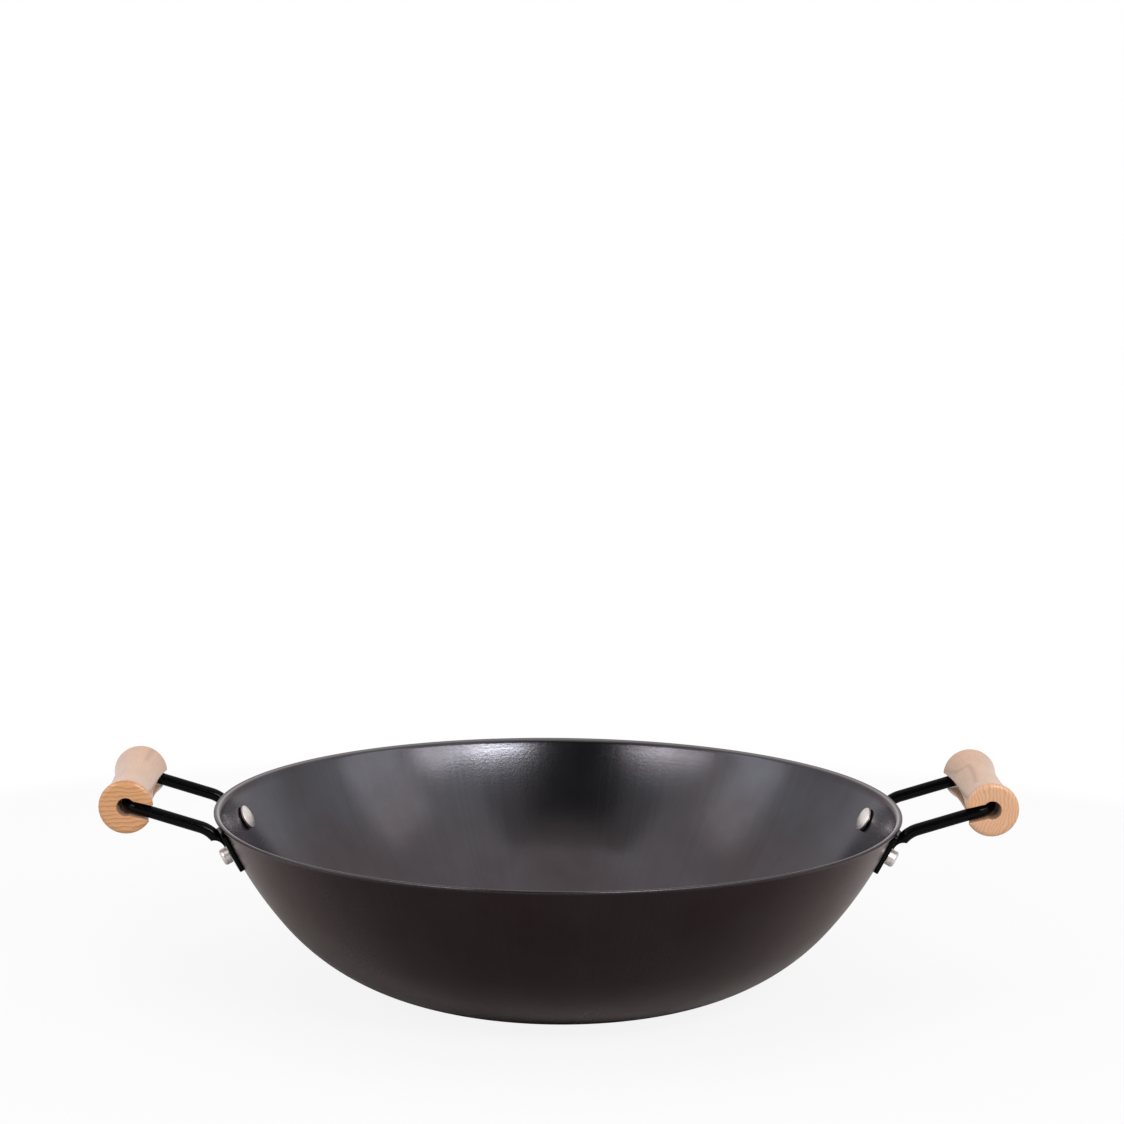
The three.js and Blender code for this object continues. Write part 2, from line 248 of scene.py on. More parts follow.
class Board:
    """Places nodes in a tree. A socket given another node's output is linked, and any other value is set."""

    def __init__(self, tree: bpy.types.NodeTree) -> None:
        """Works on this tree."""
        self.tree = tree

    def add(self, kind: str, sockets: dict | None = None, **settings: object) -> bpy.types.Node:
        """Adds a node.

        Args:
            kind: the node's type name.
            sockets: values or outputs for its inputs, by name or number.
            settings: the node's own properties.

        Returns:
            The new node.
        """
        node = self.tree.nodes.new(kind)
        for key, value in settings.items():
            setattr(node, key, value)
        self.feed(node, sockets or {})
        return node

    def feed(self, node: bpy.types.Node, sockets: dict) -> None:
        """Links outputs to a node's sockets, and sets the sockets that get any other value.

        Args:
            node: the node.
            sockets: values or outputs for its inputs, by name or number.
        """
        for key, value in sockets.items():
            if isinstance(value, bpy.types.NodeSocket):
                self.tree.links.new(value, node.inputs[key])
            else:
                node.inputs[key].default_value = value

    def math(self, operation: str, *values: object) -> bpy.types.NodeSocket:
        """One step of arithmetic on values or outputs."""
        return self.add("ShaderNodeMath", dict(enumerate(values)), operation=operation).outputs[0]

    def length(self, first: object, second: object) -> bpy.types.NodeSocket:
        """The length of a flat vector: the root of the sum of two squares."""
        total = self.math("ADD", self.math("POWER", first, 2.0), self.math("POWER", second, 2.0))
        return self.math("SQRT", total)

    def mix(self, share: object, first: object, second: object, blend: str = "MIX") -> bpy.types.NodeSocket:
        """A colour between two others, or one blended onto the other."""
        sockets = {0: share, 6: first, 7: second}
        return self.add("ShaderNodeMix", sockets, data_type="RGBA", blend_type=blend).outputs[2]

    def span(
        self, value: object, low: float, high: float, to_low: float = 0.0, to_high: float = 1.0
    ) -> bpy.types.NodeSocket:
        """A value carried from one range to another and held to its ends."""
        sockets = {0: value, 1: low, 2: high, 3: to_low, 4: to_high}
        return self.add("ShaderNodeMapRange", sockets, clamp=True).outputs[0]

    def noise(
        self, place: object, scale: object, detail: float, roughness: float = 0.5
    ) -> bpy.types.NodeSocket:
        """Cloudy noise about one half."""
        sockets = {"Vector": place, "Scale": scale, "Detail": detail, "Roughness": roughness}
        return self.add("ShaderNodeTexNoise", sockets).outputs[0]

    def bump(self, strength: float, depth: float, height: object) -> bpy.types.NodeSocket:
        """A normal that follows a height."""
        sockets = {"Strength": strength, "Distance": depth, "Height": height}
        return self.add("ShaderNodeBump", sockets).outputs[0]

    def mark(self, name: str) -> bpy.types.NodeSocket:
        """A number that the mesh holds for each point."""
        return self.add("ShaderNodeAttribute", attribute_name=name).outputs["Fac"]

    def place(self) -> bpy.types.NodeSocket:
        """The piece's own Object coordinates."""
        return self.add("ShaderNodeTexCoord").outputs["Object"]

    def axes(self, vector: object) -> bpy.types.NodeOutputs:
        """A vector's x, y and z."""
        return self.add("ShaderNodeSeparateXYZ", {0: vector}).outputs

    def join(self, x: object, y: object) -> bpy.types.NodeSocket:
        """A flat vector of two values."""
        return self.add("ShaderNodeCombineXYZ", {0: x, 1: y}).outputs[0]

    def stretch(self, vector: object, share: float) -> bpy.types.NodeSocket:
        """A vector with its y cut to a share, which draws a pattern out along Y."""
        return self.add("ShaderNodeMapping", {0: vector, "Scale": (1.0, share, 1.0)}).outputs[0]


def clean_tree(owner: bpy.types.Material | bpy.types.World) -> Board:
    """Gives a material or a world an empty tree of nodes.

    Args:
        owner: the material or the world.

    Returns:
        The board of its tree.
    """
    owner.use_nodes = True
    owner.node_tree.nodes.clear()
    return Board(owner.node_tree)


def new_material(name: str) -> tuple[bpy.types.Material, Board, bpy.types.Node]:
    """A material with an empty tree but for a Principled shader and its output.

    Args:
        name: the finish's name.

    Returns:
        The material, the board of its tree, and the shader.
    """
    material = bpy.data.materials.new(name)
    board = clean_tree(material)
    shader = board.add("ShaderNodeBsdfPrincipled")
    board.add("ShaderNodeOutputMaterial", {"Surface": shader.outputs[0]})
    return material, board, shader


def mottle_group() -> bpy.types.NodeTree:
    """A group of soft patches and fine specks that every finish uses at its own scales.

    Returns:
        The node group. Patch and Speck run from 0 to 1, and Height is both for a Bump node.
    """
    tree = bpy.data.node_groups.new("mottle", "ShaderNodeTree")
    face = tree.interface
    face.new_socket("Vector", in_out="INPUT", socket_type="NodeSocketVector")
    for name, value in (("Patch Scale", 20.0), ("Speck Scale", 400.0)):
        face.new_socket(name, in_out="INPUT", socket_type="NodeSocketFloat").default_value = value
    for name in ("Patch", "Speck", "Height"):
        face.new_socket(name, in_out="OUTPUT", socket_type="NodeSocketFloat")
    board = Board(tree)
    given = board.add("NodeGroupInput").outputs
    patches = board.noise(given["Vector"], given["Patch Scale"], detail=4.0, roughness=0.55)
    specks = board.noise(given["Vector"], given["Speck Scale"], detail=3.0, roughness=0.6)
    patch = board.span(patches, low=0.3, high=0.7)
    speck = board.span(specks, low=0.25, high=0.75)
    patch_height = 0.5
    height = board.math("MULTIPLY_ADD", patch, patch_height, speck)
    board.add("NodeGroupOutput", {"Patch": patch, "Speck": speck, "Height": height})
    return tree


@dataclass(frozen=True)
class Mottle:
    """How large the soft patches and the specks of a finish are, in turns to the metre."""

    patch_scale: float
    speck_scale: float

    def place(self, board: Board, group: bpy.types.NodeTree) -> bpy.types.NodeOutputs:
        """Places the group in a material at these scales, and gives its outputs."""
        sockets = {"Vector": board.place(), "Patch Scale": self.patch_scale, "Speck Scale": self.speck_scale}
        return board.add("ShaderNodeGroup", sockets, node_tree=group).outputs


@dataclass(frozen=True)
class SteelFinish:
    """Dark satin carbon steel, browner outside, with faint turning lines, a wall painted cooler towards the
    rim as a painted reflection of cool lamps, and a lip whose light line is partly wear and partly a painted
    highlight, beside a band of painted shade.
    """

    inside: Colour = (0.084, 0.0785, 0.086, 1)
    # Painted reflection: the inside turns cooler towards the rim, standing in for the cool lamps.
    inside_painted_cool: Colour = (0.079, 0.0808, 0.0925, 1)
    painted_cool_from: float = 0.045
    painted_cool_to: float = 0.072
    outside: Colour = (0.029, 0.0212, 0.0217, 1)
    # The lip's light line, partly wear and partly a painted highlight.
    worn_and_highlight: Colour = (0.20, 0.18, 0.178, 1)
    inner_tint: Colour = (0.97, 0.95, 0.98, 1)
    outer_tint: Colour = (1.0, 0.91, 0.9, 1)
    # Painted shade: the band beside the lip's light line reflects less.
    lip_painted_shade_tint: Colour = (0.68, 0.62, 0.62, 1)
    shade: Colour = (0.76, 0.66, 0.63, 1)
    streak_scale: float = 80.0
    streak_span: tuple[float, float] = (0.3, 0.7)
    streak_tone: tuple[float, float] = (0.955, 1.045)
    streak_roughness: float = 0.04
    roughness: tuple[float, float] = (0.21, 0.12)
    outer_roughness: float = 0.12
    mottle: Mottle = Mottle(16.0, 700.0)
    line_scale: float = 900.0
    line_height: float = 0.6
    bump: float = 0.06
    bump_depth: float = 0.0003

    def material(self, group: bpy.types.NodeTree) -> bpy.types.Material:
        """Builds the bowl's material.

        Args:
            group: the mottle group.

        Returns:
            The material. It reads from the mesh the value outer_face, the lip's mask of wear and painted
            highlight, and the lip's mask of painted shade.
        """
        material, board, shader = new_material("satin_steel")
        mottle = self.mottle.place(board, group)
        outer, lip, band = (board.mark(name) for name in ("outer_face", "lip_wear_and_highlight", "lip_painted_shade"))
        x, y, z = board.axes(board.place())
        lines = board.noise(board.join(board.length(x, y), z), self.line_scale, detail=2.0)
        # Painted reflection: the wall's colour turns cooler towards the rim.
        inner = board.mix(board.span(z, self.painted_cool_from, self.painted_cool_to), self.inside, self.inside_painted_cool)
        face = board.mix(outer, inner, self.outside)
        dark = board.mix(1.0, face, self.shade, "MULTIPLY")
        bearing = board.add("ShaderNodeVectorMath", {0: board.join(x, y)}, operation="NORMALIZE").outputs[0]
        streak = board.noise(bearing, self.streak_scale, detail=3.0)
        tone = board.span(streak, *self.streak_span, *self.streak_tone)
        toned = board.add("ShaderNodeCombineColor", {0: tone, 1: tone, 2: tone}).outputs[0]
        patched = board.mix(1.0, board.mix(mottle["Patch"], dark, face), toned, "MULTIPLY")
        tint = board.mix(outer, self.inner_tint, self.outer_tint)
        rough = board.span(mottle["Patch"], 0.0, 1.0, *self.roughness)
        streaked = board.math("MULTIPLY_ADD", streak, self.streak_roughness, rough)
        height = board.math("MULTIPLY_ADD", lines, self.line_height, mottle["Speck"])
        sockets = {
            "Metallic": 1.0,
            # Painted shade on the lip's outer band.
            "Specular Tint": board.mix(band, tint, self.lip_painted_shade_tint),
            # Lip line: partly wear, partly painted highlight.
            "Base Color": board.mix(lip, patched, self.worn_and_highlight),
            "Roughness": board.math("MULTIPLY_ADD", outer, self.outer_roughness, streaked),
            "Normal": board.bump(self.bump, self.bump_depth, height),
        }
        board.feed(shader, sockets)
        return material


@dataclass(frozen=True)
class EnamelFinish:
    """Gloss black enamel with a slight ripple and duller patches."""

    colour: Colour = (0.0008, 0.0008, 0.0012, 1)
    dusty: Colour = (0.0024, 0.002, 0.0022, 1)
    specular: float = 0.07
    roughness: tuple[float, float] = (0.10, 0.2)
    mottle: Mottle = Mottle(90.0, 500.0)
    bump: float = 0.12
    bump_depth: float = 0.0003

    def material(self, group: bpy.types.NodeTree) -> bpy.types.Material:
        """Builds the material of the bails, welds and lugs.

        Args:
            group: the mottle group.

        Returns:
            The material.
        """
        material, board, shader = new_material("gloss_black_enamel")
        mottle = self.mottle.place(board, group)
        sockets = {
            "Specular IOR Level": self.specular,
            "Base Color": board.mix(mottle["Speck"], self.colour, self.dusty),
            "Roughness": board.span(mottle["Patch"], 0.0, 1.0, *self.roughness),
            "Normal": board.bump(self.bump, self.bump_depth, mottle["Height"]),
        }
        board.feed(shader, sockets)
        return material


@dataclass(frozen=True)
class RivetFinish:
    """Satin aluminium, slightly dented by the setting tool."""

    colour: Colour = (0.80, 0.745, 0.725, 1)
    stained: Colour = (0.62, 0.565, 0.545, 1)
    roughness: tuple[float, float] = (0.36, 0.5)
    mottle: Mottle = Mottle(260.0, 1500.0)
    bump: float = 0.1
    bump_depth: float = 0.0004

    def material(self, group: bpy.types.NodeTree) -> bpy.types.Material:
        """Builds the rivets' material.

        Args:
            group: the mottle group.

        Returns:
            The material.
        """
        material, board, shader = new_material("satin_aluminium")
        mottle = self.mottle.place(board, group)
        sockets = {
            "Metallic": 1.0,
            "Base Color": board.mix(mottle["Patch"], self.stained, self.colour),
            "Roughness": board.span(mottle["Speck"], 0.0, 1.0, *self.roughness),
            "Normal": board.bump(self.bump, self.bump_depth, mottle["Height"]),
        }
        board.feed(shader, sockets)
        return material


@dataclass(frozen=True)
class WoodFinish:
    """Pale lacquered beech: growth rings about a pith outside the grip, long fibres, and darker end grain.

    Args:
        name: the material's name.
        pith: x and z of the pith line, which runs along Y.
        swirl: where the rings bulge round a healed knot.
        swirl_rings: by how many rings they bulge there.
    """

    name: str
    pith: tuple[float, float]
    swirl: tuple[float, float, float]
    swirl_rings: float = 1.6
    swirl_radius: float = 0.02
    pale: Colour = (0.52, 0.308, 0.203, 1)
    ringed: Colour = (0.40, 0.235, 0.155, 1)
    fleck: Colour = (0.34, 0.20, 0.12, 1)
    end_pale: Colour = (0.55, 0.27, 0.115, 1)
    end_ringed: Colour = (0.33, 0.145, 0.055, 1)
    coat: float = 0.36
    coat_roughness: float = 0.15
    ring_scale: float = 420.0
    ring_wander: float = 3.2
    ring_stretch: float = 0.04
    wander_scale: float = 90.0
    late_power: float = 3.0
    ring_height: float = -0.4
    side_rings: float = 0.25
    fibre_scale: float = 1500.0
    fibre_stretch: float = 0.05
    fleck_span: tuple[float, float] = (0.62, 0.74)
    fleck_share: float = 0.55
    figure: float = 0.75
    patch_share: float = 0.35
    end_span: tuple[float, float] = (0.35, 0.6)
    roughness: tuple[float, float] = (0.42, 0.56)
    mottle: Mottle = Mottle(34.0, 900.0)
    bump: float = 0.12
    bump_depth: float = 0.0003

    def material(self, group: bpy.types.NodeTree) -> bpy.types.Material:
        """Builds one grip's material.

        Args:
            group: the mottle group.

        Returns:
            The material. It reads the value figure from the mesh.
        """
        material, board, shader = new_material(self.name)
        mottle = self.mottle.place(board, group)
        place = board.place()
        shift = {0: place, "Location": (-self.pith[0], 0.0, -self.pith[1])}
        from_pith = board.stretch(board.add("ShaderNodeMapping", shift).outputs[0], self.ring_stretch)
        bend = board.noise(from_pith, self.wander_scale, detail=3.0)
        x, _, z = board.axes(from_pith)
        radius = board.math("MULTIPLY", board.length(x, z), self.ring_scale)
        to_knot = {0: place, 1: self.swirl}
        off_knot = board.add("ShaderNodeVectorMath", to_knot, operation="DISTANCE").outputs["Value"]
        bulge = board.span(off_knot, 0.0, self.swirl_radius, self.swirl_rings, 0.0)
        waved = board.math("MULTIPLY_ADD", bend, self.ring_wander, radius)
        saw = board.math("FRACT", board.math("ADD", waved, bulge))
        late = board.math("POWER", saw, self.late_power)
        fibre = board.noise(board.stretch(place, self.fibre_stretch), self.fibre_scale, detail=2.0)
        flecks = board.span(fibre, *self.fleck_span, 0.0, self.fleck_share)
        normal = board.axes(board.add("ShaderNodeNewGeometry").outputs["Normal"])
        end = board.span(board.math("ABSOLUTE", normal[1]), *self.end_span)
        body = board.mix(board.math("MULTIPLY", late, self.side_rings), self.pale, self.ringed)
        dark = board.math("MULTIPLY", board.mark("figure"), self.figure)
        flecked = board.mix(flecks, board.mix(dark, body, self.fleck), self.fleck)
        soft = board.mix(board.math("MULTIPLY", mottle["Patch"], self.patch_share), flecked, self.ringed)
        end_grain = board.mix(late, self.end_pale, self.end_ringed)
        height = board.math("MULTIPLY_ADD", late, self.ring_height, fibre)
        sockets = {
            "Base Color": board.mix(end, soft, end_grain),
            "Roughness": board.span(fibre, 0.0, 1.0, *self.roughness),
            "Coat Weight": self.coat,
            "Coat Roughness": self.coat_roughness,
            "Normal": board.bump(self.bump, self.bump_depth, height),
        }
        board.feed(shader, sockets)
        return material


# Sub-assemblies


@dataclass
class Bowl:
    """The pressed bowl: a flat base, a wall of two arcs and a turned-out lip with a rounded edge."""

    rim_radius: float = 0.180
    height: float = 0.0964
    base_radius: float = 0.0565
    wall_rise: float = 0.029
    turn_slope: float = math.radians(50)
    top_slope: float = math.radians(67)
    sheet: float = 0.0016
    lip_reach: float = 0.0034
    lip_rise: float = 0.0019
    hole_radius: float = 0.00305
    bore_depth: float = 0.0096
    # Where the lip's light line of wear and painted highlight lies, and where the band of painted shade
    # beside it begins, in shares of the lip's reach
    wear_and_highlight_middle: float = 0.35
    wear_and_highlight_fade: float = 0.22
    wear_and_highlight_full: float = 1.3
    painted_shade_from: float = -0.4
    painted_shade_fade: float = 0.2
    edge_share: tuple[float, float] = (0.1, 0.9)
    sides: int = 256
    bore_sides: int = 32
    base_rings: int = 5
    curve_steps: int = 40
    wall_steps: int = 20
    lip_steps: int = 12
    edge_steps: int = 10

    def __post_init__(self) -> None:
        """Works out the cone that the fixings sit on, and the radii of the wall's two arcs.

        The lower arc leaves the base level, the upper one runs on from it, and both end at the lip's root:
        R1 sin s1 + R2 (sin s2 - sin s1) = reach and R1 (1 - cos s1) + R2 (cos s1 - cos s2) = rise.
        """
        root_height = self.height - self.sheet / 2 - self.lip_rise
        self.lip_root = np.array([self.rim_radius - self.lip_reach, root_height])
        reach = self.lip_root[0] - self.base_radius
        rise = self.lip_root[1] - self.sheet / 2
        span = math.sqrt(reach**2 + self.wall_rise * (2 * rise - self.wall_rise))
        self.slope = 2 * math.atan((span - reach) / self.wall_rise)
        s1, s2 = self.turn_slope, self.top_slope
        terms = [
            [math.sin(s1), math.sin(s2) - math.sin(s1)],
            [1 - math.cos(s1), math.cos(s1) - math.cos(s2)],
        ]
        self.radii = np.linalg.solve(terms, [reach, rise])
        self.up = np.array([math.cos(self.slope), math.sin(self.slope)])
        self.out = np.array([math.sin(self.slope), -math.cos(self.slope)])

    def outer_radius(self, height: float) -> float:
        """Radius of the wall's outer face at a height, as a straight cone."""
        face = self.lip_root + self.out * self.sheet / 2
        return face[0] + (height - face[1]) * self.up[0] / self.up[1]

    def seat(self, angle: float, drop: float) -> np.ndarray:
        """Frame on the wall's outer face: X along the wall, Y up it and Z out of it.

        Args:
            angle: the plan angle from +X.
            drop: how far below the rim it is.

        Returns:
            A 4 by 4 matrix.
        """
        height = self.height - drop
        matrix = np.eye(4)
        matrix[:3, 0] = (0, 1, 0)
        matrix[:3, 1] = (self.up[0], 0, self.up[1])
        matrix[:3, 2] = (self.out[0], 0, self.out[1])
        matrix[:3, 3] = (self.outer_radius(height), 0, height)
        return np.array(Matrix.Rotation(angle, 4, "Z")) @ matrix

    def wall_arc(self, start: np.ndarray, radius: float, slope: np.ndarray, first: float) -> np.ndarray:
        """An arc of the sheet's middle: start + R (sin s - sin s0, cos s0 - cos s).

        Args:
            start: where it starts, as r and z.
            radius: its radius R.
            slope: the slope s at each of its points.
            first: the slope s0 that it starts with.

        Returns:
            Rows of r and z.
        """
        way = np.stack([np.sin(slope) - np.sin(first), np.cos(first) - np.cos(slope)], axis=1)
        return start + radius * way

    def middle(self) -> tuple[np.ndarray, np.ndarray]:
        """The middle of the sheet from the axis to the lip's edge.

        The base is level, the wall is two arcs, and the lip is a quadratic curve.

        Returns:
            Rows of r and z, and the sheet's slope at each.
        """
        base = np.zeros((self.base_rings, 2))
        base[:, 0] = np.linspace(0, self.base_radius, self.base_rings, endpoint=False)
        base[:, 1] = self.sheet / 2
        low_turn = np.linspace(0, self.turn_slope, self.curve_steps + 1)
        low = self.wall_arc(np.array([self.base_radius, self.sheet / 2]), self.radii[0], low_turn, 0.0)
        high_turn = np.linspace(self.turn_slope, self.top_slope, self.wall_steps + 1)[1:-1]
        high = self.wall_arc(low[-1], self.radii[1], high_turn, self.turn_slope)
        corner = self.lip_root + np.array([self.lip_rise / math.tan(self.top_slope), self.lip_rise])
        edge = np.array([self.rim_radius - self.sheet / 2, corner[1]])
        t = np.linspace(0, 1, self.lip_steps + 1)[:, None]
        lip = (1 - t) ** 2 * self.lip_root + 2 * t * (1 - t) * corner + t**2 * edge
        way = (1 - t) * (corner - self.lip_root) + t * (edge - corner)
        line = np.concatenate([base, low, high, lip])
        slope = np.concatenate([np.zeros(len(base)), low_turn, high_turn, np.arctan2(way[:, 1], way[:, 0])])
        return line, slope

    def surface(self) -> Surface:
        """The whole sheet: the middle line moved half a sheet to each side, and a half round at the edge.

        Returns:
            A closed surface with the value outer_face, the lip's mask of wear and painted highlight, and the
            lip's mask of painted shade.
        """
        line, slope = self.middle()
        offset = self.sheet / 2 * np.stack([np.sin(slope), -np.cos(slope)], axis=1)
        inside, outside = line - offset, line + offset
        edge = arc(tuple(line[-1]), self.sheet / 2, np.pi / 2, -np.pi / 2, self.edge_steps)[1:-1]
        profile = np.concatenate([inside, edge, outside[::-1]])
        rounded = np.linspace(*self.edge_share, len(edge))
        outer = np.concatenate([np.zeros(len(inside)), rounded, np.ones(len(outside))])
        along = (profile[:, 0] - self.lip_root[0]) / self.lip_reach
        top = (profile[:, 1] > self.height - self.sheet - self.lip_rise) * (1 - outer)
        # Partly wear and partly a painted highlight along the lip.
        lip = np.clip(self.wear_and_highlight_full - np.abs(along - self.wear_and_highlight_middle) / self.wear_and_highlight_fade, 0, 1) * top
        # Painted shade in the band outward of it.
        band = np.clip((along - self.painted_shade_from) / self.painted_shade_fade, 0, 1) * (1 - lip) * top
        surface = revolve(profile, self.sides)
        for key, row in (("outer_face", outer), ("lip_wear_and_highlight", lip), ("lip_painted_shade", band)):
            surface.values[key] = np.concatenate([np.repeat(row[1:-1], self.sides), row[[0, -1]]])
        return surface

    def build(self, material: bpy.types.Material, seats: list[np.ndarray]) -> bpy.types.Object:
        """Makes the bowl and bores its rivet holes.

        Args:
            material: the steel.
            seats: a frame for each rivet.

        Returns:
            The bowl.
        """
        bowl = make_piece("wok_bowl", self.surface(), material)
        radius, depth = self.hole_radius, self.bore_depth
        side = np.array([[0, depth], [radius, depth], [radius, -depth], [0, -depth]])
        bore = revolve(side, self.bore_sides)
        cutters = bpy.data.collections.new("bores")
        for number, seat in enumerate(seats):
            cutter = make_piece(f"bore_{number}", bore.moved(seat), material)
            bpy.context.scene.collection.objects.unlink(cutter)
            cutters.objects.link(cutter)
        cut = bowl.modifiers.new("bores", "BOOLEAN")
        cut.operand_type = "COLLECTION"
        cut.collection = cutters
        cut.solver = "EXACT"
        graph = bpy.context.evaluated_depsgraph_get()
        plain = bowl.data
        bowl.data = bpy.data.meshes.new_from_object(bowl.evaluated_get(graph))
        bowl.modifiers.clear()
        bpy.data.meshes.remove(plain)
        for cutter in list(cutters.objects):
            bpy.data.objects.remove(cutter)
        bpy.data.collections.remove(cutters)
        return settle(bowl, "bowl")


@dataclass
class Rivet:
    """A rivet: a low dome inside the bowl, a shank, and a button outside with a rounded edge."""

    shank_radius: float = 0.00275
    head_radius: float = 0.0064
    head_height: float = 0.0024
    head_edge: float = 0.0009
    edge_round: float = 0.0004
    tail_radius: float = 0.0044
    tail_height: float = 0.0044
    tail_round: float = 0.0015
    sides: int = 64
    steps: int = 10
    edge_steps: int = 4

    def surface(self, head_seat: float, tail_seat: float) -> Surface:
        """The rivet turned about its own axis, from the button's top to the dome's.

        Args:
            head_seat: how far along the axis the dome's underside is.
            tail_seat: how far along it the button's underside is.

        Returns:
            A closed surface about Z.
        """
        crown = self.head_height - self.head_edge
        dome_radius = (self.head_radius**2 + crown**2) / (2 * crown)
        half = math.asin((self.head_radius - self.edge_round) / dome_radius)
        centre = (0.0, head_seat - self.head_height + dome_radius)
        dome = arc(centre, dome_radius, -np.pi / 2, half - np.pi / 2, self.steps)
        dome[0, 0] = 0
        edge = (self.head_radius - self.edge_round, dome[-1, 1] + self.edge_round)
        rim = arc(edge, self.edge_round, half - np.pi / 2, 0, self.edge_steps)[1:]
        stem = np.array(
            [
                [self.head_radius, head_seat],
                [self.shank_radius, head_seat],
                [self.shank_radius, tail_seat],
                [self.tail_radius, tail_seat],
            ]
        )
        shoulder = (self.tail_radius - self.tail_round, tail_seat + self.tail_height - self.tail_round)
        button = arc(shoulder, self.tail_round, 0, np.pi / 2, self.steps)
        top = np.array([[0, tail_seat + self.tail_height]])
        return revolve(np.concatenate([dome, rim, stem, button, top])[::-1], self.sides)


@dataclass
class Lug:
    """A flat plate with round corners, softened edges and one rivet hole."""

    width: float = 0.016
    thickness: float = 0.0025
    above: float = 0.0136
    below: float = 0.0096
    corner: float = 0.002
    soften: float = 0.0004
    hole_radius: float = 0.00305
    sides: int = 96
    soften_steps: int = 4

    def outline(self, inset: float) -> np.ndarray:
        """The plate's outline, one point for each direction from the hole, moved in by inset.

        A ray at angle a meets the straight sides at min(half width / |cos a|, end / |sin a|). The corners
        are taken off by the distance from the ray's point to the corner's own centre.

        Args:
            inset: how far the outline is moved in.

        Returns:
            Rows of x and y.
        """
        way = unit_vectors(round_angles(self.sides))
        half = np.array([self.width / 2, (self.above + self.below) / 2]) - inset
        middle = np.array([0, (self.above - self.below) / 2])
        reach_x = half[0] / np.maximum(np.abs(way[:, 0]), LEAST_LENGTH)
        end = np.where(way[:, 1] > 0, middle[1] + half[1], half[1] - middle[1])
        reach_y = end / np.maximum(np.abs(way[:, 1]), LEAST_LENGTH)
        box = way * np.minimum(reach_x, reach_y)[:, None]
        centre = np.clip(box - middle, -(half - self.corner), half - self.corner) + middle
        away = box - centre
        length = np.maximum(np.linalg.norm(away, axis=1, keepdims=True), LEAST_LENGTH)
        return centre + away / length * np.minimum(length, self.corner)

    def surface(self, base: float) -> Surface:
        """The plate as one loop of rings: hole, upper face, softened edge, lower face and hole again.

        Args:
            base: how far the plate's lower face is off the wall.

        Returns:
            A closed surface with Z out of the wall.
        """
        hole = self.hole_radius * unit_vectors(round_angles(self.sides))
        top = base + self.thickness
        turn = np.linspace(0, np.pi / 2, self.soften_steps + 1)
        inset = self.soften * (1 - np.sin(turn))
        drop = self.soften * (1 - np.cos(turn))
        rings = [(hole, base), (hole, top)]
        rings += [(self.outline(i), top - d) for i, d in zip(inset, drop)]
        rings += [(self.outline(i), base + d) for i, d in zip(inset[::-1], drop[::-1])]
        points = np.concatenate([np.column_stack([ring, np.full(self.sides, z)]) for ring, z in rings])
        quads = grid_quads(len(rings), self.sides, round_rows=True, round_columns=True)
        return Surface(points, [quads])


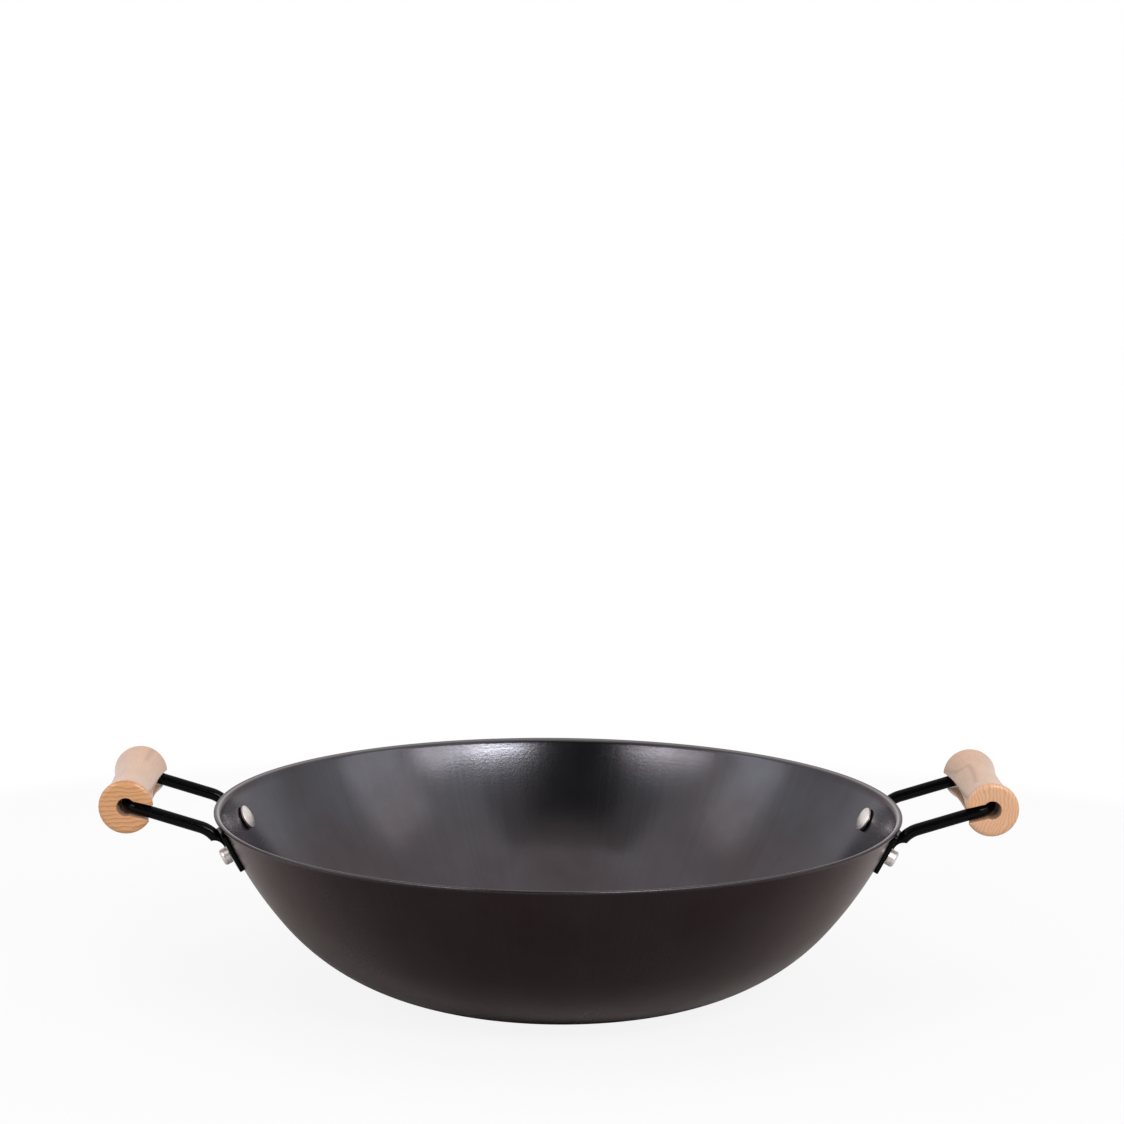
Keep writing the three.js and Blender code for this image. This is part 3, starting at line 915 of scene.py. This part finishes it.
@dataclass
class Bail:
    """The handle's bent rod, with a weld under each end."""

    rod_radius: float = 0.00315
    arm_spacing: float = 0.078
    arm_tilt: float = math.radians(17)
    reach: float = 0.042
    corner_radius: float = 0.0065
    bend_radius: float = 0.016
    end_tilt: float = math.radians(10)
    end_drop: float = 0.0076
    end_flat: float = 0.0012
    end_soften: float = 0.0004
    weld_width: float = 0.0046
    weld_toe_width: float = 0.0056
    weld_throat: float = 0.0014
    weld_inset: float = 0.0003
    weld_sink: float = 0.0007
    weld_toe: float = 0.0002
    weld_crease: float = 70.0
    sides: int = 40
    bend_steps: int = 16
    arm_steps: int = 4
    corner_steps: int = 14
    soften_steps: int = 3
    weld_steps: int = 16
    weld_sides: int = 24

    def fit(self, bowl: Bowl, lug_face: float, gap: float) -> None:
        """Sets the rod's end beside its lug, clear of it by the gap, in the plane of its arm.

        Args:
            bowl: the bowl that the handle is on.
            lug_face: how far the lug's outer face is off the wall.
            gap: the space between the rod and the lug.
        """
        height = bowl.height - self.end_drop
        self.off_lug = gap + self.rod_radius - self.end_flat
        radius = bowl.outer_radius(height) + (lug_face + self.off_lug) / bowl.out[0]
        self.seat_angle = math.asin(self.arm_spacing / 2 / radius)
        self.end_slope = bowl.slope - self.end_tilt
        self.end = np.array([radius * math.cos(self.seat_angle), -self.arm_spacing / 2, height])
        self.bar_x = bowl.rim_radius + self.reach
        self.arm_way = np.array([math.cos(self.arm_tilt), 0, math.sin(self.arm_tilt)])
        self.arm_up = np.array([-math.sin(self.arm_tilt), 0, math.cos(self.arm_tilt)])
        turn = np.linspace(self.end_slope, self.arm_tilt, self.bend_steps + 1)
        self.bend_turn = turn
        inward = np.array([math.sin(self.end_slope), 0, -math.cos(self.end_slope)])
        centre = self.end + self.bend_radius * inward
        self.bend = centre + self.bend_radius * np.stack([-np.sin(turn), 0 * turn, np.cos(turn)], axis=1)
        run = (self.bar_x - self.bend[-1, 0]) / self.arm_way[0]
        self.bar = self.bend[-1] + self.arm_way * run
        self.bar[1] = 0

    def route(self) -> tuple[np.ndarray, np.ndarray, np.ndarray]:
        """The rod's middle line with its direction and an upright across it at each point.

        The bend is an arc in the arm's plane, the arm a straight line, and the corner a quarter turn from
        the arm to the cross bar. The far half is the near one with Y turned round.

        Returns:
            Points, directions and uprights, one row each.
        """
        turn = self.bend_turn
        zero = np.zeros_like(turn)
        bend_way = np.stack([np.cos(turn), zero, np.sin(turn)], axis=1)
        bend_up = np.stack([-np.sin(turn), zero, np.cos(turn)], axis=1)
        along = np.array([0.0, 1.0, 0.0])
        corner = self.bar - self.arm_way * self.corner_radius
        corner[1] = self.end[1] + self.corner_radius
        quarter = np.linspace(0, np.pi / 2, self.corner_steps + 1)[:, None]
        round_out = self.corner_radius * (np.sin(quarter) * self.arm_way - np.cos(quarter) * along)
        corner_points = corner + round_out
        corner_way = np.cos(quarter) * self.arm_way + np.sin(quarter) * along
        share = np.linspace(0, 1, self.arm_steps + 1)[1:-1, None]
        arm_points = self.bend[-1] + (corner_points[0] - self.bend[-1]) * share
        points = np.concatenate([self.bend, arm_points, corner_points])
        ways = np.concatenate([bend_way, np.repeat(self.arm_way[None], len(share), 0), corner_way])
        ups = np.concatenate([bend_up, np.repeat(self.arm_up[None], len(share) + len(quarter), 0)])
        mirror = np.array([1.0, -1.0, 1.0])
        points = np.concatenate([points, (points * mirror)[::-1]])
        ways = np.concatenate([ways, -(ways * mirror)[::-1]])
        ups = np.concatenate([ups, (ups * mirror)[::-1]])
        return points, ways, ups

    def rod(self) -> Surface:
        """The rod: a circle carried along the route, P(i, a) = p_i + r_i (cos a u_i + sin a (u_i x w_i)).

        Each end is a flat cut with a softened edge, so its rings step in by a quarter round to a pole.

        Returns:
            A closed surface.
        """
        points, ways, ups = self.route()
        ease = np.linspace(0, np.pi / 2, self.soften_steps + 1)[:, None]
        back = self.end_soften * (1 - np.sin(ease))
        radius = self.rod_radius - self.end_soften * (1 - np.cos(ease[:, 0]))
        count, last = len(ease), len(points) - 1
        lines = np.concatenate([points[0] + back[::-1] * ways[0], points[1:-1], points[-1] - back * ways[-1]])
        rows = np.concatenate([np.zeros(count, int), np.arange(1, last), np.full(count, last)])
        radii = np.concatenate([radius[::-1], np.full(last - 1, self.rod_radius), radius])
        up, across = ups[rows], np.cross(ups[rows], ways[rows])
        angle = round_angles(self.sides)[None, :, None]
        circle = np.cos(angle) * up[:, None] + np.sin(angle) * across[:, None]
        return close_rings(lines[:, None] + radii[:, None, None] * circle, points[[0, -1]])

    def weld(self, bowl: Bowl, lug_face: float, drop: float, toe_gap: float) -> Surface:
        """The weld at the front end: a bead of half-oval sections along a hollow curve from rod to lug.

        With the lug's face as base line B(u) and the hollow curve as top line S(u), a section is
        P(u, a) = B + (S - B) sin a + (w / 2) y cos a, sunk into the lug where sin a is below zero.

        Args:
            bowl: the bowl that the handle is on.
            lug_face: how far the lug's outer face is off the wall.
            drop: how far below the rim the rivet is.
            toe_gap: how far up the lug from the rivet's middle the weld ends.

        Returns:
            A closed surface in the frame of the right handle.
        """
        height = bowl.height - drop
        foot = np.array([bowl.outer_radius(height) * math.cos(self.seat_angle), height])
        out = np.array([bowl.out[0] * math.cos(self.seat_angle), bowl.out[1]])
        out /= np.linalg.norm(out)
        up = np.array([-out[1], out[0]])
        end = self.end[[0, 2]]
        way = np.array([math.cos(self.end_slope), math.sin(self.end_slope)])
        under = np.array([way[1], -way[0]])
        lip = end + under * (self.rod_radius - self.weld_inset)
        toe = foot + up * toe_gap + out * lug_face
        heel = end + out * (self.weld_throat - self.off_lug) - up * self.weld_throat
        t = np.linspace(0, 1, self.weld_steps + 1)[:, None]
        top = (1 - t) ** 2 * lip + 2 * t * (1 - t) * heel + t**2 * toe
        inner = lip + way * self.rod_radius / 2
        top = np.concatenate([inner[None], top])
        lift = (top - foot) @ out - lug_face
        base = top - np.outer(lift, out)
        angle = np.linspace(2 * np.pi, 0, self.weld_sides, endpoint=False)
        bead = np.outer(np.maximum(lift, self.weld_toe), np.sin(angle))
        rise = np.where(np.sin(angle) > 0, bead, self.weld_sink * np.sin(angle))
        spread = np.linspace(self.weld_width, self.weld_toe_width, len(top)) / 2
        flat = base[:, None] + rise[:, :, None] * out
        across = self.end[1] + np.outer(spread, np.cos(angle))
        rings = np.stack([flat[..., 0], across, flat[..., 1]], axis=-1)
        middles = np.stack([[p[0], self.end[1], p[1]] for p in (base[0], base[-1])])
        return close_rings(rings, middles)


@dataclass
class Grip:
    """A turned wooden grip: a waisted side, rounded ends, a bore, and a slot from it towards the bowl.

    Args:
        figure: the route of a dark line in the grain, as degrees from the way out and metres along.
    """

    figure: tuple[tuple[float, float], ...]
    length: float = 0.088
    end_radius: float = 0.014
    waist_radius: float = 0.0117
    flare_power: float = 2.6
    round_width: float = 0.003
    round_depth: float = 0.0018
    round_steps: int = 8
    bore_radius: float = 0.0047
    slot_width: float = 0.0076
    soften: float = 0.0005
    lip_round: float = 0.0007
    lip_steps: int = 6
    figure_width: float = 0.0013
    stations: int = 96
    steps: int = 96

    def stations_along(self) -> tuple[np.ndarray, np.ndarray, np.ndarray, np.ndarray]:
        """The rows of points along the grip, from the front end to the back.

        The side has r(y) = waist + (end - waist) |y / flare|^power. Each end is rounded by a quarter of an
        ellipse outside and a small quarter round at the bore and the slot.

        Returns:
            Stations and radii of the outside, stations of the bore, and how far the bore and slot widen.
        """
        half = self.length / 2
        flare = half - self.round_depth
        quarter = np.linspace(0, np.pi / 2, self.round_steps + 1)[1:]
        middle = np.linspace(-1, 1, self.stations)
        swell = np.abs(middle) ** self.flare_power
        side_r = self.waist_radius + (self.end_radius - self.waist_radius) * swell
        end_r = self.end_radius - self.round_width * (1 - np.cos(quarter))
        end_y = flare + self.round_depth * np.sin(quarter)
        bore_y = half - self.soften * (1 - np.sin(quarter))
        ease = self.soften * (1 - np.cos(quarter))
        return (
            np.concatenate([-end_y[::-1], middle * flare, end_y]),
            np.concatenate([end_r[::-1], side_r, end_r]),
            np.concatenate([-bore_y[::-1], middle * (half - self.soften), bore_y]),
            np.concatenate([ease[::-1], 0 * middle, ease]),
        )

    def surface(self, centre: np.ndarray, out: np.ndarray, up: np.ndarray) -> Surface:
        """The C-shaped section carried along the grip.

        At each station the loop runs round the outside as r (cos a, sin a) and over the upper lip of the
        slot by an arc of radius l about (-sqrt((r - l)^2 - (s + l)^2), s + l), where s is half the slot. It
        then runs back round the bore as b (cos c, sin c) and over the lower lip.

        Args:
            centre: the grip's middle.
            out: the way out of the bowl along the handle's arms.
            up: the way across the arms.

        Returns:
            A closed surface.
        """
        y, radius, bore_y, widen = self.stations_along()
        slot, bore, lip = self.slot_width / 2 + widen, self.bore_radius + widen, self.lip_round
        share = np.linspace(-1, 1, self.steps + 1)
        lip_share = np.arange(1, self.lip_steps + 1) / self.lip_steps
        lip_centre = np.stack([-np.sqrt((radius - lip) ** 2 - (slot + lip) ** 2), slot + lip], axis=-1)
        edge = np.arctan2(lip_centre[:, 1], lip_centre[:, 0])
        turn = np.outer(edge, share)
        bend = edge[:, None] + np.outer(1.5 * np.pi - edge, lip_share)
        inner = np.outer(np.pi - np.arcsin(slot / bore), share[::-1])
        outside = radius[:, None, None] * unit_vectors(turn)
        upper = lip_centre[:, None] + lip * unit_vectors(bend)
        inside = bore[:, None, None] * unit_vectors(inner)
        lower = upper[:, ::-1] * (1, -1)
        loop = np.concatenate([outside, upper, inside, lower], axis=1)
        rows, columns, arcs = len(y), loop.shape[1], len(share)
        column = np.arange(columns)
        first = arcs + self.lip_steps
        in_bore = (column >= first) & (column < first + arcs)
        station = np.where(in_bore, bore_y[:, None], y[:, None])
        points = centre + loop @ np.stack([out, up]) + station[..., None] * np.array([0.0, 1.0, 0.0])
        front = self.end_faces()
        back = [block[:, ::-1] + (rows - 1) * columns for block in front]
        dark = np.zeros((rows, columns))
        dark[:, :arcs] = self.figure_share(turn, y)
        faces = [grid_quads(rows, columns, round_columns=True), *back, *front]
        return Surface(points.reshape(-1, 3), faces, {"figure": dark.ravel()})

    def end_faces(self) -> list[np.ndarray]:
        """The front end's faces, as numbers in one loop: outside, upper lip, bore and lower lip.

        Returns:
            Quads from the outside across to the bore, and the triangles of a fan at each lip.
        """
        arcs = self.steps + 1
        first = arcs + self.lip_steps
        last = first + arcs - 1
        over = np.arange(self.steps)
        quads = np.stack([over + 1, last - 1 - over, last - over, over], axis=1)
        upper = np.arange(arcs - 1, first)
        lower = np.append(last + 1 + np.arange(self.lip_steps), 0)
        lips = ((first, upper), (last, lower))
        fans = [np.stack([np.full(self.lip_steps, hub), lip[:-1], lip[1:]], axis=1) for hub, lip in lips]
        return [quads, *fans]

    def figure_share(self, turn: np.ndarray, y: np.ndarray) -> np.ndarray:
        """How much each point of the outside shows the figure: exp(-(d / width)^2).

        The side is unrolled to (waist radius x turn, y), and d is how far a point is from the line there.

        Args:
            turn: the points' turns from the way out.
            y: the stations along the grip.

        Returns:
            A share for each point.
        """
        flat = np.stack([self.waist_radius * turn, np.broadcast_to(y[:, None], turn.shape)], axis=-1)
        line = np.array(self.figure) * (self.waist_radius * math.pi / 180, 1)
        start, step = line[:-1], np.diff(line, axis=0)
        offset = flat[..., None, :] - start
        along = np.clip((offset * step).sum(-1) / (step**2).sum(-1), 0, 1)
        distance = np.linalg.norm(offset - along[..., None] * step, axis=-1).min(-1)
        return np.exp(-((distance / self.figure_width) ** 2))


@dataclass
class Handle:
    """One handle: a bail with its welds, two lugs, two rivets and a grip that hangs on the cross bar."""

    side: Side
    bowl: Bowl
    grip: Grip
    bail: Bail = field(default_factory=Bail)
    lug: Lug = field(default_factory=Lug)
    rivet: Rivet = field(default_factory=Rivet)
    gap: float = 0.0003
    rivet_drop: float = 0.0152

    def __post_init__(self) -> None:
        """Fits the bail beside the lugs."""
        self.name = self.side.name.lower()
        self.turn = np.array(Matrix.Rotation(self.side.value, 4, "Z"))
        self.lug_face = self.gap + self.lug.thickness
        self.bail.fit(self.bowl, self.lug_face, self.gap)

    def end_sign(self, end: End) -> int:
        """The sign of an end's Y before the handle is turned to its own side."""
        return end.value if self.side is Side.RIGHT else -end.value

    def seat(self, end: End) -> np.ndarray:
        """The frame of an end's rivet on the wall."""
        return self.turn @ self.bowl.seat(self.end_sign(end) * self.bail.seat_angle, self.rivet_drop)

    def build_fixings(self, end: End, enamel: bpy.types.Material, metal: bpy.types.Material) -> None:
        """Makes an end's lug, rivet and weld.

        Args:
            end: which end of the handle.
            enamel: the finish of the lug and the weld.
            metal: the finish of the rivet.
        """
        tag = f"{self.name}_{end.name.lower()}"
        seat = self.seat(end)
        plate = make_piece(f"{tag}_plate", self.lug.surface(self.gap).moved(seat), enamel)
        settle(plate, f"{tag}_lug")
        wall = self.bowl.outer_radius(self.bowl.height - self.rivet_drop)
        hollow = self.rivet.head_radius**2 * self.bowl.out[0] / (2 * wall)
        head_seat = -self.bowl.sheet - self.gap - hollow
        stud = self.rivet.surface(head_seat, self.lug_face + self.gap)
        settle(make_piece(f"{tag}_stud", stud.moved(seat), metal), f"{tag}_rivet")
        toe_gap = self.rivet.tail_radius + 2 * self.gap
        weld = self.bail.weld(self.bowl, self.lug_face, self.rivet_drop, toe_gap)
        if self.end_sign(end) > 0:
            weld = weld.mirrored()
        bead = make_piece(f"{tag}_weld", weld.moved(self.turn), enamel, self.bail.weld_crease)
        settle(bead)

    def grip_surface(self) -> Surface:
        """The grip, hung on the cross bar and tipped until its slot's lower edge meets the arms.

        Returns:
            A closed surface in the frame of the right handle.
        """
        hang = self.grip.slot_width / 2 - self.bail.rod_radius - self.gap
        tilt = self.bail.arm_tilt - math.atan(2 * hang / self.grip.end_radius)
        out = np.array([math.cos(tilt), 0, math.sin(tilt)])
        up = np.array([-math.sin(tilt), 0, math.cos(tilt)])
        return self.grip.surface(self.bail.bar - up * hang, out, up)

    def build(self, enamel: bpy.types.Material, metal: bpy.types.Material, wood: bpy.types.Material) -> None:
        """Makes all of the handle's pieces.

        Args:
            enamel: the finish of the bail, welds and lugs.
            metal: the finish of the rivets.
            wood: the finish of the grip.
        """
        rod = make_piece(f"{self.name}_rod", self.bail.rod().moved(self.turn), enamel)
        settle(rod, f"{self.name}_bail")
        for end in End:
            self.build_fixings(end, enamel, metal)
        grip = make_piece(f"{self.name}_wood", self.grip_surface().moved(self.turn), wood)
        settle(grip, f"{self.name}_grip")


# Studio


@dataclass
class SoftBox:
    """A soft lamp that faces the object.

    Args:
        name: the lamp's name.
        azimuth: degrees to the right of the viewer.
        elevation: degrees above the horizon.
        distance: metres from the object.
        size: width and height in metres.
        radiance: its brightness, where 1 is as bright as white.
        mirrored: whether shiny surfaces show it.
    """

    name: str
    azimuth: float
    elevation: float
    distance: float
    size: tuple[float, float]
    radiance: float
    mirrored: bool = True

    def build(self) -> None:
        """Hangs the lamp."""
        lamp = bpy.data.lights.new(self.name, "AREA")
        lamp.shape = "RECTANGLE"
        lamp.size, lamp.size_y = self.size
        lamp.energy = self.radiance * math.pi * self.size[0] * self.size[1]
        holder = bpy.data.objects.new(self.name, lamp)
        holder.matrix_world = stand(self.azimuth, self.elevation, self.distance)
        holder.visible_camera = False
        holder.visible_glossy = self.mirrored
        bpy.context.scene.collection.objects.link(holder)


def stand(azimuth: float, elevation: float, distance: float) -> Matrix:
    """A frame that looks at the object, with its Z pointing away from it.

    Args:
        azimuth: degrees to the right of the viewer.
        elevation: degrees above the horizon.
        distance: metres from the object.

    Returns:
        The frame.
    """
    a, e = math.radians(azimuth), math.radians(elevation)
    right = np.array([math.cos(a), math.sin(a), 0])
    back = np.array([math.sin(a) * math.cos(e), -math.cos(a) * math.cos(e), math.sin(e)])
    matrix = np.eye(4)
    matrix[:3, 0] = right
    matrix[:3, 1] = np.cross(back, right)
    matrix[:3, 2] = back
    matrix[:3, 3] = back * distance
    return Matrix(matrix.tolist())


@dataclass
class Card:
    """A grey card behind the viewer, part of a ball round the object, that shiny surfaces show.

    Args:
        name: the card's name.
        azimuth: its left and right edges in degrees to the right of the viewer.
        elevation: its low and high edges in degrees above the horizon.
        distance: metres from the object.
        radiance: its brightness, where 1 is as bright as white.
    """

    name: str
    azimuth: tuple[float, float]
    elevation: tuple[float, float]
    distance: float
    radiance: float
    columns: int = 33
    rows: int = 17

    def build(self) -> None:
        """Hangs the card: P(a, e) = R (sin a cos e, -cos a cos e, sin e)."""
        a = np.radians(np.linspace(*self.azimuth, self.columns))[:, None]
        e = np.radians(np.linspace(*self.elevation, self.rows))[None, :]
        ball = np.stack([np.sin(a) * np.cos(e), -np.cos(a) * np.cos(e), np.sin(e) + 0 * a], axis=-1)
        material = bpy.data.materials.new(self.name)
        board = clean_tree(material)
        grey = board.add("ShaderNodeEmission", {"Color": WHITE, "Strength": self.radiance})
        board.add("ShaderNodeOutputMaterial", {"Surface": grey.outputs[0]})
        surface = Surface(ball.reshape(-1, 3) * self.distance, [grid_quads(self.columns, self.rows)])
        card = make_piece(self.name, surface, material)
        card.visible_camera = False


@dataclass
class Studio:
    """A white surround with a floor, soft lamps, and dark cards behind the viewer."""

    lamps: tuple[SoftBox, ...] = (
        SoftBox("overhead", 0, 88, 2.1, (2.4, 2.0), 0.9, False),
        SoftBox("right_strip", 22.5, 33.5, 2.5, (0.80, 0.46), 20.5),
        SoftBox("right_soft", 44, 34, 2.5, (1.0, 0.5), 5.4),
        SoftBox("right_tall", 78, 36, 2.6, (1.0, 1.2), 1.2),
        SoftBox("left_strip", -39.5, 32.5, 2.5, (0.72, 0.44), 10.5),
        SoftBox("left_soft", -55, 32, 2.5, (0.6, 0.44), 4.6),
        SoftBox("left_tall", -86, 35, 2.6, (0.9, 1.2), 1.1),
    )
    fill: float = 0.7
    floor_size: float = 12.0
    floor_colour: Colour = (0.62, 0.62, 0.62, 1)
    floor_clear: tuple[float, float] = (0.25, 0.6)
    floor_white: float = 0.88
    cards: tuple[Card, ...] = (
        Card("tall_card", (-33.0, 15.5), (2.0, 61.0), 3.2, 0.07),
        Card("high_card", (-54.0, 36.0), (45.0, 69.0), 3.3, 0.45),
    )

    def seen(self, board: Board) -> bpy.types.NodeSocket:
        """Tells the rays that show the surround: from the camera, or off or through a glossy surface.

        Args:
            board: the board of the tree that asks.

        Returns:
            One for such a ray, and nought for any other.
        """
        path = board.add("ShaderNodeLightPath").outputs
        gloss = board.math("MAXIMUM", path["Is Glossy Ray"], path["Is Transmission Ray"])
        return board.math("MAXIMUM", path["Is Camera Ray"], gloss)

    def build_world(self) -> None:
        """A white surround for what is seen, and a weaker white for what lights the object."""
        world = bpy.data.worlds.new("studio")
        bpy.context.scene.world = world
        board = clean_tree(world)
        light = board.add("ShaderNodeBackground", {"Color": WHITE, "Strength": self.fill}).outputs[0]
        white = board.add("ShaderNodeBackground", {"Color": WHITE, "Strength": 1.0}).outputs[0]
        both = board.add("ShaderNodeMixShader", {0: self.seen(board), 1: light, 2: white})
        board.add("ShaderNodeOutputWorld", {"Surface": both.outputs[0]})

    def build_floor(self) -> None:
        """A pale floor that takes the object's shadow and runs out into white further off."""
        half = self.floor_size / 2
        corners = np.array([[-half, -half, 0], [half, -half, 0], [half, half, 0], [-half, half, 0]])
        material = bpy.data.materials.new("floor")
        board = clean_tree(material)
        matt = board.add("ShaderNodeBsdfDiffuse", {"Color": self.floor_colour})
        white = board.add("ShaderNodeEmission", {"Color": WHITE, "Strength": 1.0})
        far = board.add("ShaderNodeVectorMath", {0: board.place()}, operation="LENGTH").outputs["Value"]
        camera = board.add("ShaderNodeLightPath").outputs["Is Camera Ray"]
        near = board.math("MULTIPLY", camera, self.floor_white)
        clear = board.math("MAXIMUM", near, board.span(far, *self.floor_clear))
        share = board.math("MULTIPLY", clear, self.seen(board))
        both = board.add("ShaderNodeMixShader", {0: share, 1: matt.outputs[0], 2: white.outputs[0]})
        board.add("ShaderNodeOutputMaterial", {"Surface": both.outputs[0]})
        floor = make_piece("floor", Surface(corners, [np.array([[0, 1, 2, 3]])]), material)

    def build(self) -> None:
        """Sets up the surround, floor, cards and lamps."""
        self.build_world()
        self.build_floor()
        for fitting in (*self.cards, *self.lamps):
            fitting.build()
        bpy.context.scene.view_settings.view_transform = "Standard"


@dataclass
class Viewpoint:
    """The camera at the photograph's place, with its lens. Pixels are those of the 1124 pixel image."""

    image_pixels: float = 1124.0
    focal_pixels: float = 3546.4
    sensor: float = 36.0
    azimuth: float = -1.506
    elevation: float = 14.283
    distance: float = 1.8767
    aim_height: float = 0.0482
    aim_pixel: tuple[float, float] = (560.5, 896.8)
    roll: float = 0.546
    clip: tuple[float, float] = (0.05, 50.0)

    def build(self) -> None:
        """Places the camera so that the bowl's middle falls on its own pixel, off the image's middle."""
        camera = bpy.data.cameras.new("viewpoint")
        camera.sensor_width = self.sensor
        camera.lens = self.focal_pixels / self.image_pixels * self.sensor
        camera.clip_start, camera.clip_end = self.clip
        middle = self.image_pixels / 2
        tilt = math.atan((self.aim_pixel[1] - middle) / self.focal_pixels)
        swing = math.atan((self.aim_pixel[0] - middle) / self.focal_pixels)
        aim = Matrix.Translation((0, 0, self.aim_height))
        place = aim @ stand(self.azimuth, self.elevation, self.distance)
        turn = Matrix.Rotation(tilt, 4, "X") @ Matrix.Rotation(swing, 4, "Y")
        holder = bpy.data.objects.new("viewpoint", camera)
        holder.matrix_world = place @ turn @ Matrix.Rotation(math.radians(self.roll), 4, "Z")
        bpy.context.scene.collection.objects.link(holder)
        bpy.context.scene.camera = holder


WOODS = {
    Side.LEFT: WoodFinish(name="left_beech", pith=(-0.215, -0.06), swirl=(-0.228, 0.040, 0.118)),
    Side.RIGHT: WoodFinish(
        name="right_beech",
        pith=(0.18, 0.11),
        swirl=(0.213, 0.028, 0.113),
        swirl_rings=3.4,
        pale=(0.49, 0.287, 0.178, 1),
        ringed=(0.33, 0.19, 0.12, 1),
        fleck=(0.30, 0.145, 0.09, 1),
        end_pale=(0.59, 0.325, 0.183, 1),
        end_ringed=(0.42, 0.205, 0.10, 1),
        ring_scale=560.0,
        ring_wander=4.0,
    ),
}

FIGURES = {
    Side.LEFT: ((103.5, -0.042), (103, -0.036), (101, -0.029), (100, -0.0205)),
    Side.RIGHT: (
        (157, 0.0416),
        (148, 0.030),
        (132, 0.0187),
        (114, 0.015),
        (97, 0.016),
        (96, 0.005),
        (100, -0.01),
        (105, -0.024),
    ),
}


def main() -> None:
    """Builds the wok piece by piece and sets up the studio."""
    logging.basicConfig(level=logging.INFO, format="%(name)s: %(message)s")
    Viewpoint().build()
    Studio().build()
    mottle = mottle_group()
    steel = SteelFinish().material(mottle)
    enamel = EnamelFinish().material(mottle)
    metal = RivetFinish().material(mottle)
    woods = {side: finish.material(mottle) for side, finish in WOODS.items()}
    bowl = Bowl()
    handles = [Handle(side, bowl, Grip(FIGURES[side])) for side in Side]
    bowl.build(steel, [handle.seat(end) for handle in handles for end in End])
    for handle in handles:
        handle.build(enamel, metal, woods[handle.side])


if __name__ == "__main__":
    main()
